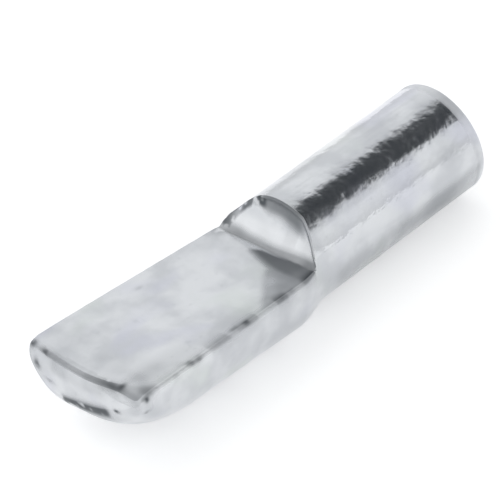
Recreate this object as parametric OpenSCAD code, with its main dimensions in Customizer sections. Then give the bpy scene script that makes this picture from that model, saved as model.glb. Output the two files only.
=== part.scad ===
// Shelf support pin, spoon pattern.
// One length of round steel rod. One half stays round and pushes into the hole
// in the cabinet side. The other half is pressed into a half-round groove, so it
// ends up flat on top, fuller at the sides and rounded underneath, with a
// sloping shoulder where the pressing stops.
//
// Frame: +X runs along the pin to its free end, +Z is the side the shelf rests
// on. The origin is on the pin's axis where the straight round wall begins.
// Millimetres.

/* [Pin] */
// Diameter of the round pin
pin_d = 5; // [4.8:0.05:5.2]
// Length of the straight round wall, from the flare to the free end
pin_len = 9; // [7:0.5:12]
// Rounding of the rim at the free end
pin_edge = 0.2; // [0.1:0.05:0.5]

/* [Pressed half] */
// Length from the start of the flare to the tip
spoon_len = 11.8; // [10:0.2:14]
// Thickness from the flat to the underside
spoon_t = 3.2; // [3:0.05:3.4]
// Width where the flare ends
root_w = 5.85; // [5.6:0.05:6.4]
// Width at the tip
tip_w = 6.6; // [6:0.05:7]
// Height of the flat's plane above the pin's axis at the origin
flat_h = 0.52; // [0.4:0.02:0.8]
// How far the flat leans up towards the tip, in degrees
flat_lean = 3.8; // [1:0.1:5]
// Fullness of the underside: 2 is an ellipse, more is squarer
fullness = 2.4; // [2:0.1:2.8]
// Length over which the round pin swells into the pressed half
flare_len = 2.4; // [2:0.1:3]

/* [Shoulder] */
// Distance from the origin to the shoulder's top edge
shoulder_x = 0.28; // [0.1:0.02:0.6]
// Height of the square wall under the shoulder's top edge
shoulder_wall = 0.4; // [0.1:0.05:0.8]
// Slope of the shoulder below that wall, away from square, in degrees
shoulder_slope = 30; // [15:1:35]
// Hollow radius at the foot of the shoulder
foot_r = 0.5; // [0.3:0.05:0.8]

/* [Tip] */
// How far the front edge bows out in plan, over the full width
tip_bow = 0.3; // [0.1:0.05:0.5]
// Length of the rounding under the tip, along the pin
tip_round_len = 3.5; // [2:0.1:4]
// Height of the rounding under the tip
tip_round_h = 1.9; // [1:0.1:2.2]
// Length of the rounding at the tip's two corners
corner_len = 1.2; // [0.6:0.1:1.6]
// Depth of the rounding at the tip's two corners
corner_in = 0.15; // [0.1:0.05:0.4]

/* [Hidden] */

// Sides of each ring of the pressed half
sides = 72;
// Rings in the flare, along the body and round the tip
n_flare = 10;
n_body = 4;
n_tip = 8;

pin_r = pin_d / 2;
// The pressed half starts a hair proud of the round wall, at the die's edge
start_r = pin_r + 0.02;
// The widest line of the pressed half lies this far below the flat
belly = 0.35;
depth = spoon_t - belly;
rise = tan(flat_lean);

// Height of the flat's plane at x
function flat_z(x) = flat_h - rise * x;
// Smooth step from 0 to 1
function ease(t) = t <= 0 ? 0 : t >= 1 ? 1 : t * t * t * (t * (6 * t - 15) + 10);
function mix(a, b, t) = a + (b - a) * t;
function signed_pow(v, e) = sign(v) * pow(abs(v), e);

// Share of the swell reached at x, and share of the way from flare to tip
function swell(x) = ease(-x / flare_len);
function along(x) = max(0, (-x - flare_len) / (spoon_len - flare_len));

function half_w(x) = mix(start_r, mix(root_w, tip_w, along(x)) / 2, swell(x));
function mid_z(x) = (flat_z(x) - belly) * swell(x);
function under(x) = mix(start_r, depth, swell(x));

// Point of the pressed half's outline at x and angle a, measured from the top
function outline(x, a) =
    let (c = cos(a), s = sin(a),
         e = 2 / mix(2, fullness, swell(x)))
    c >= 0
        ? [x, half_w(x) * s, mid_z(x) + start_r * c]
        : [x, half_w(x) * signed_pow(s, e), mid_z(x) + under(x) * signed_pow(c, e)];

// The tip: plan bow, and the rounding's length at angle a and how far it draws
// the outline in towards the middle of the flat's front edge, as a share
function front_x(y) = -spoon_len + tip_bow * pow(y / (tip_w / 2), 2);
function below(a) = pow(max(0, -cos(a)), 0.7);
function round_len(a) = mix(corner_len, tip_round_len, below(a));
function round_in(a) = mix(corner_in / (tip_w / 2), tip_round_h / spoon_t, below(a));
function edge_x(a) = front_x(outline(-spoon_len, a)[1]) + round_len(a);

// Point on the rounding, q from 0 at the body to 90 on the end face
function tip_point(a, q) =
    let (p = outline(edge_x(a), a),
         hub = flat_z(-spoon_len),
         k = round_in(a) * (1 - cos(q)),
         y = p[1] * (1 - k),
         z = mix(p[2], hub, k))
    [front_x(y) + round_len(a) * (1 - sin(q)), y, z];

angles = [for (k = [0 : sides - 1]) 360 * (k + 0.5) / sides];

rings = concat(
    [for (i = [0 : n_flare])
        let (x = -flare_len * i / n_flare)
        [for (a = angles) outline(x, a)]],
    [for (i = [1 : n_body])
        [for (a = angles) outline(mix(-flare_len, edge_x(a), i / n_body), a)]],
    [for (i = [1 : n_tip])
        [for (a = angles) tip_point(a, 90 * i / n_tip)]]);

// Closed skin over a list of rings, with a point in the middle of each end
module skin(rings, first, last) {
    n = len(rings[0]);
    m = len(rings);
    pts = concat([for (r = rings) each r], [first, last]);
    faces = concat(
        [for (i = [0 : m - 2]) for (k = [0 : n - 1])
            let (j = (k + 1) % n)
            each [[i * n + k, (i + 1) * n + j, i * n + j],
                  [i * n + k, (i + 1) * n + k, (i + 1) * n + j]]],
        [for (k = [0 : n - 1]) [m * n, k, (k + 1) % n]],
        [for (k = [0 : n - 1])
            [m * n + 1, (m - 1) * n + (k + 1) % n, (m - 1) * n + k]]);
    polyhedron(points = pts, faces = faces);
}

// The round pin, turned about X, with its rounded rim
module round_pin() {
    rotate([0, 90, 0])
        rotate_extrude($fn = 128)
            union() {
                square([pin_r, pin_len - pin_edge]);
                square([pin_r - pin_edge, pin_len]);
                translate([pin_r - pin_edge, pin_len - pin_edge])
                    intersection() {
                        circle(r = pin_edge, $fn = 48);
                        square(pin_edge);
                    }
            }
}

// The swollen half before its top is pressed flat
module pressed_blank() {
    skin(rings, [0, 0, 0], [-spoon_len, 0, flat_z(-spoon_len) - 0.6]);
}

// The space taken by the upper die: flat face, hollow foot, sloping shoulder and
// the short square wall above it
module upper_die() {
    reach = spoon_len + 2;
    top = 6;
    // The slope starts below the square wall and leans out by shoulder_slope
    lean = tan(shoulder_slope);
    wall_z = pin_r - shoulder_wall;
    // Foot of the slope, where it meets the flat's plane
    foot_z = (flat_h + rise * (shoulder_x + wall_z * lean)) / (1 + rise * lean);
    foot_x = -shoulder_x - (wall_z - foot_z) * lean;
    // Centre of the hollow: foot_r from both lines
    half = (90 + shoulder_slope - flat_lean) / 2;
    away = foot_r / tan(half);
    u_flat = [-cos(flat_lean), sin(flat_lean)];
    u_slope = [sin(shoulder_slope), cos(shoulder_slope)];
    t_flat = [foot_x, foot_z] + away * u_flat;
    t_slope = [foot_x, foot_z] + away * u_slope;
    hub = t_flat + foot_r * [sin(flat_lean), cos(flat_lean)];
    rotate([90, 0, 0])
        translate([0, 0, -6])
            union() {
                linear_extrude(12)
                    polygon([t_flat, t_slope,
                             [-shoulder_x, wall_z],
                             [-shoulder_x, top],
                             [-reach, top],
                             [-reach, flat_z(-reach)]]);
                translate([hub[0], hub[1], 0])
                    cylinder(r = foot_r, h = 12, $fn = 96);
            }
}

module support_pin() {
    color([0.78, 0.79, 0.8])
        difference() {
            union() {
                round_pin();
                pressed_blank();
            }
            upper_die();
        }
}

support_pin();
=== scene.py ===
import bpy
import numpy as np
from mathutils import Matrix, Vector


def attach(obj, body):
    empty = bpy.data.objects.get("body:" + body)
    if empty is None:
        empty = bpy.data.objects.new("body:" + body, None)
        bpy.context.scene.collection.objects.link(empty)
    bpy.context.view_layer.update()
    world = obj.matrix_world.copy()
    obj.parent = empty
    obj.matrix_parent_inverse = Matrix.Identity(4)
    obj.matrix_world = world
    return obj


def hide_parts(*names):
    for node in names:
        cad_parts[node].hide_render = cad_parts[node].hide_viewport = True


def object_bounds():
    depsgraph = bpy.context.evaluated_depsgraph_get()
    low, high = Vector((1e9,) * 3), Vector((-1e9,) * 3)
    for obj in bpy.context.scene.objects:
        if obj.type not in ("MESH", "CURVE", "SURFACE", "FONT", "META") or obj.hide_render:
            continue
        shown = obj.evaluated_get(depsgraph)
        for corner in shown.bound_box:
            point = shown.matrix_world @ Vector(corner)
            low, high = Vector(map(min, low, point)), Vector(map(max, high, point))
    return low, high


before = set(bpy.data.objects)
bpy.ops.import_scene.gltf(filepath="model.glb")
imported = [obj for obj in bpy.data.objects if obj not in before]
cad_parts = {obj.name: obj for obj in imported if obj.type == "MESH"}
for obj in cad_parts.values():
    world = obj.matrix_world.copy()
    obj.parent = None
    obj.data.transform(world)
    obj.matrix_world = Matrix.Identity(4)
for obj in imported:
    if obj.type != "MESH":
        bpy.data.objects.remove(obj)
cad_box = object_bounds()

MM = 0.001

# ---------------------------------------------------------------- the pin's form
# Lengths below are in millimetres in the row frame, as in part.scad.
PIN_R = 2.5
PIN_END = 8.995
RIM_R = 0.14
FLAT_H = 0.52
RISE = 0.0664
FLARE = 2.4
TIP_X = -11.765
TIP_BOW = 0.28
ROOT_W, TIP_W = 2.93, 3.295
ROOT_D, TIP_D = 2.85, 2.827
BELLY = 0.35
FULL = 2.44
SHOULDER_X = -0.28
WALL_Z = 2.1
LEAN = np.tan(np.radians(30.0))
Z_SIDE = 0.896          # height at which the shoulder's outer corners leave the round wall


def ease(t):
    t = np.clip(t, 0.0, 1.0)
    return t * t * t * (t * (6 * t - 15) + 10)


def smooth(t):
    t = np.clip(t, 0.0, 1.0)
    return t * t * (3 - 2 * t)


def mix(a, b, t):
    return a + (b - a) * t


def flat_z(x):
    return FLAT_H - RISE * x


def swell(x):
    return ease(-x / FLARE)


def along(x):
    return np.maximum(0.0, (-x - FLARE) / (-TIP_X - FLARE))


def half_w(x):
    return mix(PIN_R, mix(ROOT_W, TIP_W, along(x)), swell(x))


def mid_z(x):
    return (flat_z(x) - BELLY) * swell(x)


def depth(x):
    return mix(PIN_R, mix(ROOT_D, TIP_D, along(x)), swell(x))


def half_at(x, z):
    """Half width of the blank at x, at height z above its widest line."""
    u = np.clip((z - mid_z(x)) / PIN_R, -1.0, 1.0)
    return half_w(x) * np.sqrt(1 - u * u)


def under_point(x, z_corner, a):
    """Point of the blank below a corner at z_corner. a runs from 0 at the -Y corner, under, to 1 at the +Y corner."""
    beta = np.arcsin(np.clip((z_corner - mid_z(x)) / PIN_R, -1.0, 1.0))
    ang = -beta + a * (np.pi + 2 * beta)
    c, s = np.cos(ang), np.sin(ang)
    e = 2.0 / mix(2.0, FULL, swell(x))
    low = s >= 0
    y = -half_w(x) * np.where(low, np.sign(c) * np.abs(c) ** e, c)
    z = mid_z(x) - np.where(low, depth(x) * np.abs(s) ** e, PIN_R * s)
    return y, z


def value_noise(p, size, seed):
    """Smooth lattice noise from -1 to 1 at points p, with cells of the given size."""
    rng = np.random.default_rng(seed)
    table = rng.uniform(-1, 1, 4096)
    q = p / size
    i = np.floor(q).astype(np.int64)
    f = q - i
    f = f * f * f * (f * (f * 6 - 15) + 10)
    out = np.zeros(len(p))
    for dx in (0, 1):
        for dy in (0, 1):
            for dz in (0, 1):
                h = (i[:, 0] + dx) * 73856093 ^ (i[:, 1] + dy) * 19349663 ^ (i[:, 2] + dz) * 83492791
                w = (np.where(dx, f[:, 0], 1 - f[:, 0]) * np.where(dy, f[:, 1], 1 - f[:, 1])
                     * np.where(dz, f[:, 2], 1 - f[:, 2]))
                out += w * table[(h ^ (h >> 13)) & 4095]
    return out


# ---------------------------------------------------------------- lines and rings
N_TOP = 96              # lines on the top patch
N_BAND = 10             # lines in each rounded edge
N_ARC = 128             # lines round the sides and underside
N_LINES = N_TOP + N_BAND * 2 + N_ARC

t_top = np.linspace(1.0, -1.0, N_TOP)       # +Y edge to -Y edge
# lines round the underside are spaced evenly on the tip's section
_a = np.linspace(0, 1, 4001)
_y, _z = under_point(np.full(4001, -9.0), flat_z(np.full(4001, -9.0)), _a)
_s = np.concatenate([[0], np.cumsum(np.hypot(np.diff(_y), np.diff(_z)))])
a_arc = np.interp(np.linspace(0, 1, N_ARC), _s / _s[-1], _a)


# The hollow at the shoulder's foot: its radius at places across the pin. It is larger on the -Y side.
FOOT_Y = np.array([-2.4, -1.55, -0.85, 0.20, 1.00, 2.40])
FOOT_R = np.array([0.26, 0.26, 0.20, 0.13, 0.10, 0.10])


def edge_setback(x, side):
    """Size of the rounding along the flat's side edges: small on the +Y edge, larger on the -Y edge."""
    wide = mix(0.17, 0.20, along(x)) if side < 0 else 0.06
    return mix(0.05, wide, smooth((-x - 0.6) / 1.6))


def setbacks(x):
    """The same for a pair of corners: [+Y, -Y]."""
    return np.array([edge_setback(x[0], 1), edge_setback(x[1], -1)])


def pchip(xk, yk, x):
    """Monotone cubic through the knots."""
    h = np.diff(xk); d = np.diff(yk) / h
    m = np.zeros(len(xk))
    for i in range(1, len(xk) - 1):
        if d[i - 1] * d[i] > 0:
            w1, w2 = 2 * h[i] + h[i - 1], h[i] + 2 * h[i - 1]
            m[i] = (w1 + w2) / (w1 / d[i - 1] + w2 / d[i])
    i = np.clip(np.searchsorted(xk, x) - 1, 0, len(h) - 1)
    t = (x - xk[i]) / h[i]
    return ((1 + 2 * t) * (1 - t) ** 2 * yk[i] + t * (1 - t) ** 2 * h[i] * m[i]
            + t * t * (3 - 2 * t) * yk[i + 1] + t * t * (t - 1) * h[i] * m[i + 1])


def bezier(p0, p1, p2, u):
    return (1 - u) ** 2 * p0 + 2 * u * (1 - u) * p1 + u * u * p2


theta_side = np.arccos(Z_SIDE / PIN_R)
A_SLOPE = np.radians(30.0)
Z_FOOT = (FLAT_H - RISE * (SHOULDER_X - WALL_Z * LEAN)) / (1 + RISE * LEAN)
X_FOOT = SHOULDER_X - LEAN * (WALL_Z - Z_FOOT)


def shoulder_path(t):
    """Rings over the shoulder for lateral positions t: arrays [ring, t] of x, y, z."""
    y0 = PIN_R * np.sin(t * theta_side)
    z0 = PIN_R * np.cos(t * theta_side)
    x0 = SHOULDER_X - LEAN * np.maximum(0.0, WALL_Z - z0)
    # on the -Y side the square wall runs on down beside the edge, and the foot lies a little further forward
    near = smooth((0.9 - y0) / 0.9)
    side_wall = near * np.minimum(0.30, 0.35 * (z0 - Z_FOOT))
    z_w = np.minimum(WALL_Z, z0 - np.maximum(side_wall, 0.05))
    x_f = X_FOOT + 0.11 * smooth((-y0 - 0.3) / 1.3) - 0.05 * smooth((y0 - 0.6) / 1.4)
    z_f = flat_z(x_f)
    x_w = mix(SHOULDER_X - LEAN * (WALL_Z - z_w), x0, near)
    tilt = np.arctan2(x_w - x_f, z_w - z_f)          # of the slope from square
    slope_len = np.hypot(z_w - z_f, x_w - x_f)
    wall_len = z0 - z_w
    r_e = mix(0.09, 0.05, smooth((0.12 - wall_len) / 0.07))
    r_up = np.minimum(0.26, wall_len * 0.6)
    r_down = np.minimum(1.05, slope_len * 0.62)
    yg = t * 2.45
    # hollow at the foot, an arc between slope and flat
    radius = pchip(FOOT_Y, FOOT_R, np.clip(yg, FOOT_Y[0], FOOT_Y[-1]))
    turn = np.pi / 2 - tilt + np.arctan(RISE)        # from the slope's inclination to the flat's
    d_up = np.minimum(radius * np.tan(turn / 2), 0.80 * (slope_len - r_down))
    radius = d_up / np.tan(turn / 2)
    dn = np.array([-np.sin(tilt), -np.cos(tilt)])      # down the slope in x, z
    out = []

    def put(x, z, k):
        out.append((x, y0 + 0 * x, z + 0 * x, k + 0 * x))

    # rounding of the shoulder's top edge
    e_in = np.minimum(r_e, wall_len * 0.30)
    for u in np.linspace(0, 1, 11):
        px = bezier(x0 + r_e, x0, mix(x0, x_w, e_in / wall_len), u)
        pz = bezier(z0, z0, mix(z0, z_w, e_in / wall_len), u)
        put(px, pz, 0.0)
    # wall
    for u in np.linspace(0, 1, 4)[1:]:
        k = mix(e_in / wall_len, 1 - r_up / wall_len, u)
        put(mix(x0, x_w, k), mix(z0, z_w, k), 0.0)
    # hollow between wall and slope
    k = 1 - r_up / wall_len
    for u in np.linspace(0, 1, 25)[1:]:
        put(bezier(mix(x0, x_w, k), x_w, x_w + dn[0] * r_down, u),
            bezier(mix(z0, z_w, k), z_w, z_w + dn[1] * r_down, u), u * u * r_down / slope_len)
    # slope
    run = slope_len - d_up
    for u in np.linspace(0, 1, 11)[1:]:
        s = mix(r_down, run, u)
        put(x_w + dn[0] * s, z_w + dn[1] * s, s / slope_len)
    # hollow at the foot
    ax, az = x_w + dn[0] * run, z_w + dn[1] * run
    top = np.pi / 2 - tilt
    for u in np.linspace(0, 1, 25)[1:]:
        now = top - turn * u
        put(ax - radius * (np.sin(top) - np.sin(now)), az - radius * (np.cos(now) - np.cos(top)), mix(run / slope_len, 1.0, u))
    x = np.array([o[0] for o in out]); y = np.array([o[1] for o in out])
    z = np.array([o[2] for o in out]); k = np.array([o[3] for o in out])
    # sideways: from the line's place on the round wall to its place on the flat, and the outermost lines on the blank
    y_flat = t * half_at(x, flat_z(x))
    y = mix(y, y_flat, smooth(k))
    y_out = half_at(x, z)
    edge = np.abs(t) ** 8
    y = y + (mix(np.sign(t), t, smooth(k)) * y_out - y) * edge
    return x, y, z


sx, sy, sz = shoulder_path(t_top)
cx, cy, cz = shoulder_path(np.array([1.0, -1.0]))
N_SH = len(sx)

X_G = cx[-1]            # where the two outermost lines reach the flat: [+Y, -Y]

# tip rounding: length b along the pin and share (or drop) a, per line
yf = t_top
b_top = 0.22 + 0.16 * smooth((-yf - 0.50) / 0.42) + 0.25 * np.abs(yf) ** 6
a_top = 0.09 + 0.10 * smooth((-yf - 0.58) / 0.40)
B_COR = np.array([0.62, 0.78])          # the same length at the two corners: [+Y, -Y]
knots = np.array([-0.16, 0, np.pi / 4, np.pi / 2, 3 * np.pi / 4, np.pi, np.pi + 0.16])
_beta = np.arcsin(BELLY / PIN_R)
ang_arc = -_beta + a_arc * (np.pi + 2 * _beta)


b_arc = pchip(knots, np.array([0.78, 0.95, 3.75, 3.50, 2.30, 1.00, 0.80]), ang_arc)
# share by which the end face is lower and narrower than the section
low_arc = pchip(knots, np.array([0.66, 0.67, 0.69, 0.575, 0.38, 0.38, 0.40]), ang_arc)
in_arc = pchip(knots, np.array([0.03, 0.045, 0.10, 0.09, 0.05, 0.03, 0.03]), ang_arc)


Z_EDGE = FLAT_H - RISE * TIP_X - 0.12      # front edge of the flat
Z_PILLOW = 0.10


def front_x(y):
    return TIP_X + TIP_BOW * (y / 3.3) ** 2


def front_lag(y):
    """How far the flat's front edge lies behind the end face's foremost line: more on the -Y half."""
    return 0.13 + np.where(y < 0, 0.055, 0.016) * y * y * (1 - 0.42 * smooth((np.abs(y) - 2.1) / 1.0))


def face_x(y, z):
    """The end face: it leans back towards the flat's front edge, as a slight pillow."""
    v = np.clip((Z_EDGE - z) / (Z_EDGE - Z_PILLOW), 0, 1)
    return front_x(y) + front_lag(y) * (1 - v) ** 3


def lateral(w, d):
    """y of the top lines between two corners at half width w with setbacks d: [+Y, -Y]."""
    return mix(-(w - d[1]), w - d[0], (t_top + 1) / 2)


def section(x_top, x_arc, x_cor, z_cor, y_top=None, z_top=None, on_pin=False):
    """A ring. x_top, x_arc: x of each line. x_cor, z_cor: [+Y, -Y] corners."""
    y_cor = np.array([1.0, -1.0]) * half_at(x_cor, z_cor)
    d = setbacks(x_cor)
    # underside
    z_line = mix(z_cor[1], z_cor[0], a_arc)
    da = d / PIN_R / (np.pi + 2 * _beta)
    a = mix(da[1], 1 - da[0], a_arc)
    ya, za = under_point(x_arc, z_line, a)
    pn = np.array([x_cor[1], y_cor[1], z_cor[1]])
    pp = np.array([x_cor[0], y_cor[0], z_cor[0]])
    top = np.stack([x_top, y_top, z_top], -1)
    arc = np.stack([x_arc, ya, za], -1)
    u = np.linspace(0, 1, N_BAND + 2)[1:-1, None]
    near = bezier(top[-1], pn, arc[0], u)
    far = bezier(arc[-1], pp, top[0], u)
    return np.concatenate([top, near, arc, far])


rings = []
kinds = []
mid = smooth(np.minimum(a_arc, 1 - a_arc) / 0.12)      # 0 at the corners, 1 away from them

# --- round wall, from the rim to the shoulder
x_start = PIN_END - RIM_R
N_PIN = 112
for u in [*(np.arange(N_PIN) / N_PIN), 0.9965, 0.9985]:
    xt = mix(x_start, sx[0], u)
    xc = mix(x_start, cx[0], u)
    zc = np.full(2, Z_SIDE)
    d = setbacks(xc) / half_at(xc, zc)
    side = np.arccos(np.clip((Z_SIDE - mid_z(xt)) / PIN_R, -1, 1))
    th = side * mix(-(1 - d[1]), 1 - d[0], (t_top + 1) / 2)
    yt = half_w(xt) * np.sin(th)
    zt = mid_z(xt) + PIN_R * np.cos(th)
    xa = mix(xc[1], xc[0], a_arc)
    rings.append(section(xt, xa, xc, zc, yt, zt)); kinds.append(0)

# --- shoulder
x_first, x_last = cx[0], cx[-1]
for i in range(N_SH):
    d = setbacks(cx[i])
    # pull the top patch in from the corners by the setback
    w = np.abs(cy[i])
    ti = mix(-(1 - d[1] / w[1]), 1 - d[0] / w[0], (t_top + 1) / 2)
    px, py, pz = shoulder_path(ti)
    xt, yt, zt = px[i], py[i], pz[i]
    even = mix(mix(x_first[1], x_last[1], i / (N_SH - 1)), mix(x_first[0], x_last[0], i / (N_SH - 1)), a_arc)
    own = mix(cx[i][1], cx[i][0], a_arc)
    xa = mix(own, even, mid)
    rings.append(section(xt, xa, cx[i], cz[i], yt, zt)); kinds.append(1)

# --- flat and body, to the start of the tip's rounding
N_BODY = 120
y_cor_tip = np.array([3.2, -3.2])
x_end_top = front_x(t_top * 3.15) + front_lag(t_top * 3.15) + b_top
x_end_cor = front_x(y_cor_tip) + front_lag(y_cor_tip) + B_COR
y_tip_arc, _ = under_point(np.full(N_ARC, -11.0), flat_z(np.full(N_ARC, -11.0)), a_arc)
# the lag fades out down the sides of the end face
lag_arc = front_lag(y_tip_arc) * np.clip(1 - np.minimum(a_arc, 1 - a_arc) / 0.16, 0, 1) ** 1.5
x_end_arc = front_x(y_tip_arc) + lag_arc + b_arc
d = setbacks(cx[-1])
px, _, _ = shoulder_path(mix(-(1 - d[1] / abs(cy[-1][1])), 1 - d[0] / abs(cy[-1][0]), (t_top + 1) / 2))
x_beg_top = px[-1]
x_beg_arc = mix(cx[-1][1], cx[-1][0], a_arc)
for i in range(1, N_BODY + 1):
    u = i / N_BODY
    xt = mix(x_beg_top, x_end_top, u)
    xc = mix(cx[-1], x_end_cor, u)
    xa = mix(x_beg_arc, x_end_arc, u)
    zc = flat_z(xc)
    d = setbacks(xc)
    yt = lateral(half_at(xt, flat_z(xt)), d)
    rings.append(section(xt, xa, xc, zc, yt, flat_z(xt))); kinds.append(2)

# --- rounding of the tip
N_TIP = 34
last = rings[-1].copy()
hub = flat_z(TIP_X)
u = np.linspace(0, 1, N_BAND + 2)[1:-1]
def round_band(near_top, near_arc, far_arc, far_top):
    return mix(near_top, near_arc, u), mix(far_arc, far_top, u)


bn, bf = round_band(b_top[-1], b_arc[0], b_arc[-1], b_top[0])
b_all = np.concatenate([b_top, bn, b_arc, bf])
fade = np.where(a_arc < 0.5, np.clip(1 - a_arc / 0.10, 0, 1), np.clip(1 - (1 - a_arc) / 0.10, 0, 1)) ** 2
drop = np.concatenate([a_top, np.full(N_BAND, a_top[-1]), np.where(a_arc < 0.5, a_top[-1], a_top[0]) * fade, np.full(N_BAND, a_top[0])])
low = np.concatenate([np.zeros(N_TOP), low_arc[0] * u, low_arc, low_arc[-1] * (1 - u)])
pull_t = mix(in_arc[-1], in_arc[0], (1 - t_top) / 2) * np.abs(t_top) ** 4
pull = np.concatenate([pull_t, np.full(N_BAND, in_arc[0]), in_arc, np.full(N_BAND, in_arc[-1])])
for i in range(1, N_TIP + 1):
    q = np.pi / 2 * i / N_TIP
    k = 1 - np.cos(q)
    p = last.copy()
    p[:, 1] = last[:, 1] * (1 - pull * k)
    p[:, 2] = last[:, 2] + (hub - last[:, 2]) * low * k - drop * k
    # each line ends over its own place on the front
    p[:, 0] = mix(last[:, 0] - b_all, face_x(p[:, 1], p[:, 2]), float(smooth(i / N_TIP))) + b_all * (1 - np.sin(q))
    rings.append(p); kinds.append(3)

# --- end face of the tip
N_FACE = 22
rim = rings[-1].copy()
z_mid = 0.5 * (rim[:, 2].min() + rim[:, 2].max())
centre = np.array([float(face_x(0.0, z_mid)), 0.0, z_mid])
for i in range(1, N_FACE):
    k = i / N_FACE
    p = mix(rim, centre, k)
    p[:, 0] = face_x(p[:, 1], p[:, 2])
    rings.append(p); kinds.append(4)

# --- soften the creases round the tip's end face
g = np.array(rings)
first = next(i for i, k in enumerate(kinds) if k == 3) + 4
for _ in range(8):
    r = g[first - 1:-1]
    around = (np.roll(r, 1, 1) + np.roll(r, -1, 1)) / 2
    along_ = (g[first - 2:-2] + g[first:]) / 2
    g[first - 1:-1] = mix(r, (around + along_) / 2, 0.5)
# inside its rim the end face keeps its own plain bow
inner = [float(smooth((i - kinds.index(4) - 2) / 5)) if k == 4 else 0.0 for i, k in enumerate(kinds)]
for i, w in enumerate(inner):
    g[i, :, 0] = mix(g[i, :, 0], face_x(g[i, :, 1], g[i, :, 2]), w)
rings = list(g)

# --- rim and free end of the pin, in front of the first ring
head = []
base = rings[0].copy()
for i in range(1, 13):
    q = np.pi / 2 * i / 12
    p = base.copy()
    k = 1 - RIM_R / PIN_R * (1 - np.cos(q))
    p[:, 1] *= k; p[:, 2] *= k
    p[:, 0] = x_start + RIM_R * np.sin(q)
    head.append(p)
rim2 = head[-1]
for i in range(1, 26):
    p = rim2.copy()
    k = 1 - i / 26
    p[:, 1] *= k; p[:, 2] *= k
    p[:, 0] = PIN_END
    head.append(p)
rings = head[::-1] + rings
kinds = [5] * len(head) + kinds
inner = [0.0] * len(head) + inner

grid = np.array(rings)                      # [ring, line, xyz] in mm
n_r, n_l = grid.shape[:2]
pts = grid.reshape(-1, 3)
pole_a = np.array([[PIN_END, 0.0, 0.0]])
pole_b = centre[None, :]
verts = np.concatenate([pts, pole_a, pole_b])


def grid_normals(v):
    """Normals of the grid, taken over a few rings and lines and evened out."""
    g = v[:n_r * n_l].reshape(n_r, n_l, 3)
    du = np.roll(g, -2, 1) - np.roll(g, 2, 1)
    i = np.arange(n_r)
    dv = g[np.minimum(i + 3, n_r - 1)] - g[np.maximum(i - 3, 0)]
    n = np.cross(du, dv)
    n /= np.maximum(np.linalg.norm(n, axis=-1, keepdims=True), 1e-12)
    for _ in range(3):
        n = n + 0.5 * (n[np.minimum(i + 1, n_r - 1)] + n[np.maximum(i - 1, 0)])
        n /= np.maximum(np.linalg.norm(n, axis=-1, keepdims=True), 1e-12)
    return n.reshape(-1, 3)


nrm = grid_normals(verts)
# outward is away from the axis on the round wall
probe = nrm.reshape(n_r, n_l, 3)[60]
if (probe[:, 1:] * grid[60][:, 1:]).sum() < 0:
    nrm = -nrm
# the end face's own normal, where the lines crowd together
fy = (face_x(pts[:, 1] + 0.01, pts[:, 2]) - face_x(pts[:, 1] - 0.01, pts[:, 2])) / 0.02
fz = (face_x(pts[:, 1], pts[:, 2] + 0.01) - face_x(pts[:, 1], pts[:, 2] - 0.01)) / 0.02
own = np.stack([-np.ones(len(fy)), fy, fz], -1)
own /= np.linalg.norm(own, axis=-1, keepdims=True)
inner = np.repeat(np.array(inner), n_l)[:, None]
nrm = nrm * (1 - inner) + own * inner

# --- small unevenness of pressed and tumbled steel
P = verts[:n_r * n_l]
ring_kind = np.repeat(np.array(kinds), n_l)
wave = (0.010 * value_noise(P * np.array([0.45, 1, 1]), 2.3, 11)
        + 0.006 * value_noise(P * np.array([0.6, 1, 1]), 1.05, 12)
        + 0.0022 * value_noise(P, 0.45, 13))
# three small dents
for dx, dy, dz, r, deep in ((1.99, -1.53, 1.97, 0.13, 0.020), (6.41, -1.43, 2.04, 0.12, 0.016), (-6.11, 2.37, 0.92, 0.16, 0.012),
                            (4.14, -2.34, 0.86, 0.16, 0.008)):
    d2 = (P[:, 0] - dx) ** 2 + (P[:, 1] - dy) ** 2 + (P[:, 2] - dz) ** 2
    P = P - nrm * (deep * np.exp(-d2 / r ** 2))[:, None]
# the +Y side is a little fuller
P[:, 1] += 0.05 * smooth((-P[:, 0] - 1.6) / 1.4) * smooth(P[:, 1] / 2.4) * smooth((3.237 - P[:, 1]) / 0.10)
# a thin burr stands out at the +Y end of the shoulder
burr = np.exp(-((P[:, 0] + 1.12) / np.where(P[:, 0] < -1.12, 0.70, 0.78)) ** 2) * smooth((P[:, 1] - 1.9) / 0.5) * smooth((P[:, 2] + 0.3) / 0.6)
P[:, 1] += 0.17 * burr * (1 + 0.35 * value_noise(P, 0.26, 21))
keep = np.where(ring_kind == 5, np.clip((PIN_END - P[:, 0]) / 0.5, 0, 1), 1.0)
P = P + nrm * ((wave * 0.7 - 0.006) * keep)[:, None]
verts[:n_r * n_l] = P

# --- faces
faces = []
idx = np.arange(n_r * n_l).reshape(n_r, n_l)
a = idx[:-1]; b = idx[1:]
quads = np.stack([a, b, np.roll(b, -1, 1), np.roll(a, -1, 1)], -1).reshape(-1, 4)
pa, pb = n_r * n_l, n_r * n_l + 1
fan_a = np.stack([np.full(n_l, pa), idx[0], np.roll(idx[0], -1)], -1)
fan_b = np.stack([np.full(n_l, pb), np.roll(idx[-1], -1), idx[-1]], -1)
# quads run ring to ring; make them face outward
v0 = verts[quads[:, 0]]; fn = np.cross(verts[quads[:, 2]] - v0, verts[quads[:, 3]] - v0)
row = quads.shape[0] // 2
outward = (fn * nrm[quads[:, 0]]).sum(-1).sum()
if outward < 0:
    quads = quads[:, ::-1]; fan_a = fan_a[:, ::-1]; fan_b = fan_b[:, ::-1]

lo, hi = [np.array(c, float) / MM for c in cad_box]
verts = np.clip(verts, lo + 0.0005, hi - 0.0005)

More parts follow.
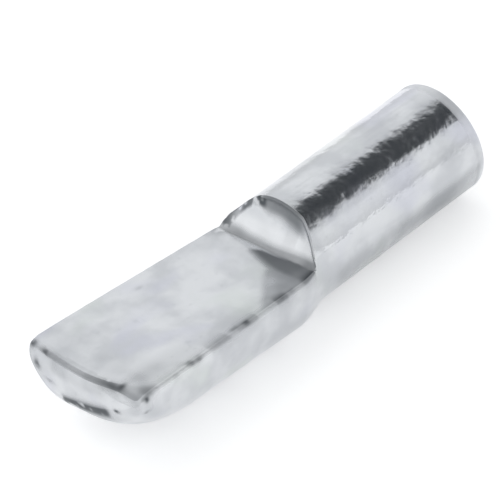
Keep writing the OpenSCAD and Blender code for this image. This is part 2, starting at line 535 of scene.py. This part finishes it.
mesh = bpy.data.meshes.new("support_pin_skin")
mesh.from_pydata((verts * MM).tolist(), [], quads.tolist() + fan_a.tolist() + fan_b.tolist())
mesh.update()
mesh.polygons.foreach_set("use_smooth", [True] * len(mesh.polygons))
pin = bpy.data.objects.new("support_pin_body", mesh)
bpy.context.scene.collection.objects.link(pin)


# ---------------------------------------------------------------- finish
def node(nt, kind, at, **values):
    n = nt.nodes.new(kind)
    n.location = at
    for k, v in values.items():
        setattr(n, k, v)
    return n


# where dirt and dull plating collect and where the edges are burred, together with painted shade and painted dark
# reflections on the underside, round the shoulder and at the tip, worked out from the form
Q = P
X_, Y_, Z_ = Q[:, 0], Q[:, 1], Q[:, 2]
n_mid = value_noise(Q, 0.55, 31)
n_fine = value_noise(Q, 0.22, 32)
n_wide = value_noise(Q, 1.3, 33)
line_no = np.tile(np.arange(n_l), n_r)
near_edge = np.exp(-((line_no - (N_TOP + 3)) / 7.0) ** 2)
far_edge = np.exp(-((line_no - (n_l - 4)) / 6.0) ** 2)
on_flat = (ring_kind == 2) | (ring_kind == 3)
# dark dashes along the flat's side edges: partly burr marks, partly painted shade on the edge roundings
edge = on_flat * ((0.34 * smooth((n_mid + 0.25) / 0.5) + 0.30 * smooth((X_ + 4.4) / 1.2)) * near_edge + 0.30 * far_edge * smooth(n_mid / 0.5))
inboard = half_w(X_) + Y_
# painted shade: the flat darker towards its -Y edge and along it
edge = edge + on_flat * (line_no < N_TOP) * ((0.10 + 0.20 * along(X_)) * smooth((1.35 + 0.7 * along(X_) - inboard) / 0.9) + (0.10 + 0.12 * along(X_)) * np.exp(-(inboard / 0.35) ** 2)) * (0.75 + 0.5 * n_wide)
# the wall under the shoulder's top edge: a painted dark reflection
below_edge = np.sqrt(np.maximum(PIN_R ** 2 - np.clip(Y_, -2.45, 2.45) ** 2, 0)) - Z_
reach = mix(0.42, 0.92, smooth((1.2 - Y_) / 0.9))
wall = ((ring_kind == 1) & (line_no < N_TOP)) * smooth((reach - below_edge) / (0.55 * reach)) * (
    0.68 * smooth((1.3 - Y_) / 0.6) * smooth((Y_ + 1.95) / 0.9) + 0.8 * smooth((Y_ - 0.5) / 0.5) * (1 - 0.5 * smooth((Y_ - 1.7) / 0.3)) * smooth((0.5 + n_fine) / 0.6))
# painted dark reflection on the flat in front of the shoulder, on its -Y side
patch = (line_no < N_TOP) * smooth((X_ + 1.75 - 1.03 * Y_) / 0.6) * smooth((-0.6 - Y_) / 0.6) * smooth((-1.25 - X_) / 0.5)
# painted dark reflection: a crescent on the flat along the shoulder's foot, between far_x and near_x
far_x = np.interp(Y_, [-2.9, -2.24, -1.36, -0.74, -0.07, 0.56], [-1.85, -2.10, -2.10, -2.02, -1.85, -1.64])
near_x = np.interp(Y_, [-2.9, -1.68, -1.2, -0.51, 0.17, 0.55], [-1.04, -1.14, -1.23, -1.34, -1.38, -1.54])
in_corner = (line_no < N_TOP) * smooth((near_x - X_) / 0.16 + 0.5) * smooth((X_ - far_x) / 0.55 + 0.5) * smooth((0.80 - Y_) / 0.35) * smooth((-0.9 - X_) / 0.1)
in_corner = in_corner * (0.72 + 0.12 * n_wide) * (1 - 0.35 * smooth((-1.6 - Y_) / 0.8))
burr_mark = burr * smooth((0.45 + 0.5 * n_fine + 0.5 * n_mid) / 0.6)


def spot(x, y, z, rx, ry, rz):
    return np.exp(-((X_ - x) / rx) ** 2 - ((Y_ - y) / ry) ** 2 - ((Z_ - z) / rz) ** 2)


ragged = smooth((n_fine + 0.95) / 0.7)
# dark spots, most of them along the flat's -Y edge
edge_dark_spots = sum(f * spot(x, y, z, 0.20, 0.13, 0.12) for x, y, z, f in (
    (-8.5, -3.03, 1.06, 0.65), (-8.0, -3.04, 1.0, 0.5), (-5.25, -2.88, 0.85, 0.6), (-5.9, -2.8, 0.9, 0.4),
    (-2.7, -2.78, 0.69, 0.2), (-3.2, -2.84, 0.72, 0.12), (-6.2, 2.3, 0.92, 0.25), (-11.1, -2.0, 1.22, 0.5)))
box = 0.50 * spot(-11.34, -1.62, 1.2, 0.20, 0.48, 0.25) + 0.45 * spot(-10.82, -2.94, 1.22, 0.30, 0.34, 0.13)
dull_tip = (0.22 * on_flat * (line_no < N_TOP) * np.exp(-((X_ + 10.1) / 0.9) ** 2 - ((Y_ + 2.2) / 0.8) ** 2)
            + 0.09 * on_flat * smooth((-X_ - 8.6) / 1.6) * smooth((Y_ + 1.8) / 0.8)
            + 0.15 * (X_ < -11.2) * smooth((Z_ - 0.45) / 0.4) * smooth((1.9 - np.abs(Y_ - 0.2)) / 0.6)) * (0.9 + 0.5 * n_mid)
# painted shade along the end face's lower rim and under the tip, where the surface turns under, and dark marks at the
# tip's +Y corner
rim_low = (X_ < -11.2) * np.exp(-((Z_ + 0.30 + 0.2 * Y_) / 0.27) ** 2) * smooth((1.55 - np.abs(Y_ + 0.1)) / 0.35)
tip_shade_and_marks = (0.95 * rim_low + 0.9 * spot(-11.6, -1.96, 0.31, 0.4, 0.16, 0.10) + 0.5 * spot(-11.05, -3.14, 0.43, 0.15, 0.15, 0.08)
          + 0.8 * spot(-11.5, 2.66, 0.52, 0.4, 0.22, 0.24) + 0.4 * spot(-11.6, 1.95, 0.05, 0.4, 0.3, 0.12)
          + 0.8 * spot(-11.24, 3.04, 1.14, 0.16, 0.20, 0.2) + 0.7 * spot(-11.38, 2.15, 1.2, 0.2, 0.30, 0.1)) * ragged
# painted dark reflection on the rounding of the tip's front edge, stronger towards -Y
front = (ring_kind == 3) * (line_no < N_TOP) * smooth((-X_ - 11.0) / 0.25)
corner = np.exp(-(((X_ + 11.05) / 0.35) ** 2 + ((Y_ + 2.88) / 0.58) ** 2 + ((Z_ - 1.0) / 0.45) ** 2))
corner_dot = spot(-10.98, -3.18, 0.99, 0.10, 0.10, 0.13)
theta = np.degrees(np.arctan2(-Y_, Z_)) % 360
# painted shade on the underside and lower -Y side of the shank and the paddle
below = (ring_kind != 5) * smooth((PIN_END - 0.1 - X_) / 0.3) * smooth((215 - theta) / 30) * (
    smooth((X_ + 0.3) / 0.8) * (0.13 * smooth((theta - 60) / 14) + smooth((theta - 88) / 14) * (0.13 + 0.16 * smooth((X_ - 1.5) / 4.5) + 0.08 * value_noise(Q * np.array([0.35, 1, 1]), 0.8, 34)))
    + smooth((0.5 - X_) / 0.8) * (line_no >= N_TOP + 6) * (ring_kind != 4) * (0.09 + 0.04 * n_wide))
patch = patch * (0.34 - 0.12 * smooth((-2.2 - Y_) / 0.5)) * (1 + 0.3 * n_mid)
# dirt marks and painted shade and dark reflections, summed into one darkening mask
dirt_and_painted_shade = np.clip(below + 0.10 * ((ring_kind == 4) + (ring_kind == 3) * smooth((-X_ - 11.2) / 0.3)) + edge + wall + np.maximum(in_corner, patch) + 0.5 * burr_mark + tip_shade_and_marks + (edge_dark_spots + box) * ragged + dull_tip + (0.03 + 0.19 * smooth((1.4 - Y_) / 2.2)) * front + 0.8 * corner_dot, 0, 1)
height_up = Z_ - flat_z(X_)
# painted dark reflection low on the shoulder's slope, near its foot, a little more on the -Y side
slope_base = (ring_kind == 1) * (line_no < N_TOP) * (0.50 * smooth((0.44 + 0.10 * smooth(Y_ - 0.8) - height_up) / 0.42) * (0.92 + 0.2 * n_mid)
                                                     + 0.12 * smooth((-Y_ - 1.2) / 0.6))
dirt_and_painted_shade = np.maximum(dirt_and_painted_shade, slope_base)
# painted highlight: the shoulder's slope made lighter below a height of 1.75
slope_low = (ring_kind == 1) * (line_no < N_TOP) * smooth((1.75 - Z_) / 0.6)
slope_painted_highlight = 0.9 * slope_low
ring_no = np.repeat(np.arange(n_r), n_l)
foot_first = int(np.where(np.array(kinds) == 2)[0][0]) - 24
edge_first = int(np.where(np.array(kinds) == 1)[0][0])
in_edge = (line_no < N_TOP) * smooth((ring_no - edge_first + 3) / 3) * smooth((edge_first + 13 - ring_no) / 3)
in_foot = (line_no < N_TOP) * smooth((ring_no - foot_first + 4) / 6) * smooth((foot_first + 26 - ring_no) / 4)
worn = np.clip(0.85 * in_foot + 0.75 * in_edge + corner * 1.4 + 0.9 * near_edge * on_flat + front * (0.75 + 0.2 * n_mid) + smooth((X_ - 8.42) / 0.22), 0, 1)
layer = mesh.attributes.new("dirt_and_painted_shade", "FLOAT", "POINT")
layer.data.foreach_set("value", np.concatenate([dirt_and_painted_shade, [0.0, 0.0]]).astype(np.float32))

layer = mesh.attributes.new("drawn", "FLOAT", "POINT")
layer.data.foreach_set("value", np.concatenate([smooth((X_ + 0.6) / 0.5) * 0.9 + 0.1, [0.0, 0.0]]).astype(np.float32))
layer = mesh.attributes.new("slope_painted_highlight", "FLOAT", "POINT")
layer.data.foreach_set("value", np.concatenate([slope_painted_highlight, [0.0, 0.0]]).astype(np.float32))
layer = mesh.attributes.new("worn", "FLOAT", "POINT")
layer.data.foreach_set("value", np.concatenate([worn, [0.0, 0.0]]).astype(np.float32))

mat = bpy.data.materials.new("bright_zinc_plate")
mat.use_nodes = True
nt = mat.node_tree
nt.nodes.clear()
out = node(nt, "ShaderNodeOutputMaterial", (1300, 0))
bsdf = node(nt, "ShaderNodeBsdfPrincipled", (1000, 0))
nt.links.new(bsdf.outputs[0], out.inputs[0])
coord = node(nt, "ShaderNodeTexCoord", (-1300, 0))


def noise(scale, detail, rough, at, stretch=(1, 1, 1)):
    """Noise from 0 to 1 in object space; scale is cells per millimetre."""
    m = node(nt, "ShaderNodeMapping", (at[0] - 200, at[1]))
    m.inputs["Scale"].default_value = [1000 * v for v in stretch]
    nt.links.new(coord.outputs["Object"], m.inputs["Vector"])
    n = node(nt, "ShaderNodeTexNoise", at)
    n.inputs["Scale"].default_value = scale
    n.inputs["Detail"].default_value = detail
    n.inputs["Roughness"].default_value = rough
    nt.links.new(m.outputs[0], n.inputs["Vector"])
    return n.outputs["Fac"]


def spread(src, low, high, a, b, at):
    r = node(nt, "ShaderNodeMapRange", at, interpolation_type="SMOOTHSTEP")
    r.inputs["From Min"].default_value = low
    r.inputs["From Max"].default_value = high
    r.inputs["To Min"].default_value = a
    r.inputs["To Max"].default_value = b
    nt.links.new(src, r.inputs["Value"])
    return r.outputs["Result"]


def blend(fac, a, b, at):
    m = node(nt, "ShaderNodeMix", at, data_type="RGBA")
    nt.links.new(fac, m.inputs["Factor"])
    for socket, v in (("A", a), ("B", b)):
        if isinstance(v, tuple):
            m.inputs[socket].default_value = (*v, 1)
        else:
            nt.links.new(v, m.inputs[socket])
    return m.outputs["Result"]


def add(a, b, at, operation="ADD"):
    m = node(nt, "ShaderNodeMath", at, operation=operation)
    nt.links.new(a, m.inputs[0])
    nt.links.new(b, m.inputs[1])
    return m.outputs[0]


patches = noise(0.50, 3.0, 0.5, (-900, 500))
tints = noise(0.30, 2.0, 0.5, (-900, 250), (1, 1.3, 1))
specks = noise(2.6, 2.0, 0.55, (-900, 0))
streaks = noise(0.9, 3.0, 0.6, (-900, -250), (0.12, 1, 1))
dirt_and_shade_attr = node(nt, "ShaderNodeAttribute", (-900, -500), attribute_name="dirt_and_painted_shade")
wear = node(nt, "ShaderNodeAttribute", (-900, -620), attribute_name="worn")

# plating: cool grey, here and there bluer or greener, cloudy
cloud = blend(spread(patches, 0.36, 0.64, 0, 1, (-650, 500)), (0.59, 0.605, 0.63), (0.72, 0.735, 0.755), (-400, 500))
tinted = blend(spread(tints, 0.55, 0.72, 0, 0.5, (-650, 330)), cloud, (0.60, 0.61, 0.70), (-150, 450))
tinted = blend(spread(tints, 0.45, 0.28, 0, 0.4, (-650, 200)), tinted, (0.63, 0.68, 0.64), (50, 400))
speckled = blend(spread(specks, 0.62, 0.75, 0, 0.2, (-650, 30)), tinted, (0.46, 0.48, 0.50), (250, 350))
drawn = node(nt, "ShaderNodeAttribute", (-900, -120), attribute_name="drawn")
streaked = blend(add(spread(streaks, 0.52, 0.74, 0, 0.34, (-650, -120)), drawn.outputs["Fac"], (-450, -150), "MULTIPLY"), speckled, (0.42, 0.43, 0.46), (380, 330))
# painted highlight on the lower shoulder slope
slope_highlight_attr = node(nt, "ShaderNodeAttribute", (-100, 150), attribute_name="slope_painted_highlight")
streaked = blend(spread(slope_highlight_attr.outputs["Fac"], 0, 1, 0, 0.7, (100, 150)), streaked, (0.82, 0.83, 0.845), (420, 200))
# base colour darkened by the dirt marks and by the painted shade and dark reflections
colour_out = blend(dirt_and_shade_attr.outputs["Fac"], streaked, (0.10, 0.11, 0.12), (500, 300))
nt.links.new(colour_out, bsdf.inputs["Base Color"])
rough = add(spread(patches, 0.3, 0.7, 0.20, 0.13, (-400, 100)), spread(streaks, 0.45, 0.7, 0.0, 0.07, (-650, -250)), (-150, 0))
rough = add(rough, spread(dirt_and_shade_attr.outputs["Fac"], 0.05, 0.8, 0.0, 0.30, (-400, -400)), (50, -50))
rough = add(rough, spread(wear.outputs["Fac"], 0.05, 0.9, 0.0, 0.26, (-400, -550)), (250, -100))
nt.links.new(rough, bsdf.inputs["Roughness"])
nt.links.new(spread(wear.outputs["Fac"], 0.1, 1.0, 1.0, 0.45, (500, 50)), bsdf.inputs["Metallic"])
# fine unevenness left by tumbling and plating
height = add(spread(noise(1.1, 2.0, 0.5, (-900, -750)), 0.2, 0.8, 0, 1, (-650, -750)),
             spread(noise(3.2, 2.0, 0.5, (-900, -1000)), 0.2, 0.8, 0, 0.28, (-650, -1000)), (-400, -800))
bump = node(nt, "ShaderNodeBump", (600, -500))
bump.inputs["Strength"].default_value = 1.0
bump.inputs["Distance"].default_value = 0.000018
height = add(height, spread(drawn.outputs["Fac"], 0, 1, 0.08, 1.0, (-400, -1000)), (-150, -850), "MULTIPLY")
nt.links.new(height, bump.inputs["Height"])
nt.links.new(bump.outputs[0], bsdf.inputs["Normal"])
mesh.materials.append(mat)

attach(pin, "root")
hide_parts("support_pin")

# ---------------------------------------------------------------- stage
floor_mesh = bpy.data.meshes.new("floor")
s = 0.6
fz = float(verts[:, 2].min()) * MM
floor_mesh.from_pydata([(-s, -s, fz), (s, -s, fz), (s, s, fz), (-s, s, fz)], [], [(0, 1, 2, 3)])
floor = bpy.data.objects.new("floor", floor_mesh)
bpy.context.scene.collection.objects.link(floor)
fm = bpy.data.materials.new("floor_paper")
fm.use_nodes = True
fb = fm.node_tree.nodes["Principled BSDF"]
fb.inputs["Base Color"].default_value = (0.9, 0.9, 0.9, 1)
fb.inputs["Roughness"].default_value = 0.9
fb.inputs["Specular IOR Level"].default_value = 0.1
fb.inputs["Emission Color"].default_value = (1, 1, 1, 1)
fb.inputs["Emission Strength"].default_value = 0.36
floor_mesh.materials.append(fm)

# world: a bright ring of soft light round the horizon, darker overhead
world = bpy.data.worlds.new("studio")
bpy.context.scene.world = world
world.use_nodes = True
wt = world.node_tree
wt.nodes.clear()
wo = node(wt, "ShaderNodeOutputWorld", (600, 0))
bg = node(wt, "ShaderNodeBackground", (400, 0))
tc = node(wt, "ShaderNodeTexCoord", (-900, 0))


def direction(v):
    v = np.array(v, float)
    return (v / np.linalg.norm(v)).tolist()


def toward(v, at, low, high, inside, outside):
    """0 to 1 by the angle to direction v: 1 nearer than inside degrees, 0 beyond outside degrees."""
    d = node(wt, "ShaderNodeVectorMath", (-700, at), operation="DOT_PRODUCT")
    d.inputs[1].default_value = direction(v)
    wt.links.new(tc.outputs["Generated"], d.inputs[0])
    r = node(wt, "ShaderNodeMapRange", (-500, at), interpolation_type="SMOOTHSTEP")
    r.inputs["From Min"].default_value = float(np.cos(np.radians(outside)))
    r.inputs["From Max"].default_value = float(np.cos(np.radians(inside)))
    r.inputs["To Min"].default_value = low
    r.inputs["To Max"].default_value = high
    wt.links.new(d.outputs["Value"], r.inputs["Value"])
    return r.outputs["Result"]


def math2(op, a, b, at):
    m = node(wt, "ShaderNodeMath", at, operation=op)
    wt.links.new(a, m.inputs[0])
    wt.links.new(b, m.inputs[1])
    return m.outputs[0]


# dark panels overhead, and soft light all round that falls off a little at the horizon
ahead = node(wt, "ShaderNodeMapRange", (-500, -250), interpolation_type="SMOOTHSTEP")
ahead.inputs["From Min"].default_value = 0.10
ahead.inputs["From Max"].default_value = 0.30
split = node(wt, "ShaderNodeSeparateXYZ", (-700, -250))
wt.links.new(tc.outputs["Generated"], split.inputs[0])
wt.links.new(split.outputs["X"], ahead.inputs["Value"])
over = math2("MULTIPLY", toward((-0.33, -0.20, 0.925), 200, 0, 1, 48, 55), ahead.outputs["Result"], (-350, 150))
over = math2("MAXIMUM", over, toward((0.35, -0.245, 0.905), -100, 0, 1, 21, 30), (-250, 100))
rear = toward((-0.40, 0.63, 0.66), 500, 0, 0.42, 11, 36)
dark = math2("MAXIMUM", over, rear, (-100, 200))
sky = math2("MULTIPLY", toward((0, 0, 1), -400, 0.86, 1.0, 66, 88), toward((-0.77, 0.63, 0.14), -700, 1.0, 1.2, 8, 22), (-100, -400))
colour = node(wt, "ShaderNodeMix", (0, 0), data_type="RGBA")
wt.links.new(dark, colour.inputs["Factor"])
colour.inputs["A"].default_value = (0.95, 0.96, 0.97, 1)
colour.inputs["B"].default_value = (0.055, 0.06, 0.066, 1)
wt.links.new(colour.outputs["Result"], bg.inputs["Color"])
wt.links.new(sky, bg.inputs["Strength"])
wt.links.new(bg.outputs[0], wo.inputs[0])

# overhead light for the floor
ld = bpy.data.lights.new("overhead", "AREA")
ld.shape = "SQUARE"; ld.size = 3.0; ld.energy = 6.0
lo_ = bpy.data.objects.new("overhead", ld)
lo_.location = (0, 0, 1.5)
bpy.context.scene.collection.objects.link(lo_)
lo_.visible_glossy = False

# ---------------------------------------------------------------- camera
phi, alpha, rho = np.radians([30.0, 46.644, 36.292])
ox, oy, S, F = 311.148, 230.877, 24.625, 3873.978
vh = np.array([0, -np.sin(alpha), np.cos(alpha)])
ex = np.array([1.0, 0, 0])
c = np.cos(phi) * vh - np.sin(phi) * ex
ea = np.cos(phi) * ex + np.sin(phi) * vh
eu = np.cross(-c, ea)
X = np.cos(rho) * ea + np.sin(rho) * eu
Y = -np.sin(rho) * ea + np.cos(rho) * eu
Z = -c
t = np.array([(ox - 250) / S, (oy - 250) / S, F / S])
loc = -(t[0] * X + t[1] * Y + t[2] * Z) + np.array([1.2, 0, 0])
cam_data = bpy.data.cameras.new("camera")
cam_data.sensor_width = 36
cam_data.lens = F * 36 / 500
cam_data.clip_start = 0.005
cam_data.clip_end = 10
cam = bpy.data.objects.new("camera", cam_data)
M = Matrix.Identity(4)
for r in range(3):
    M[r][0], M[r][1], M[r][2], M[r][3] = X[r], -Y[r], -Z[r], loc[r] * MM
cam.matrix_world = M
bpy.context.scene.collection.objects.link(cam)
bpy.context.scene.camera = cam

bpy.context.scene.view_settings.view_transform = "Standard"
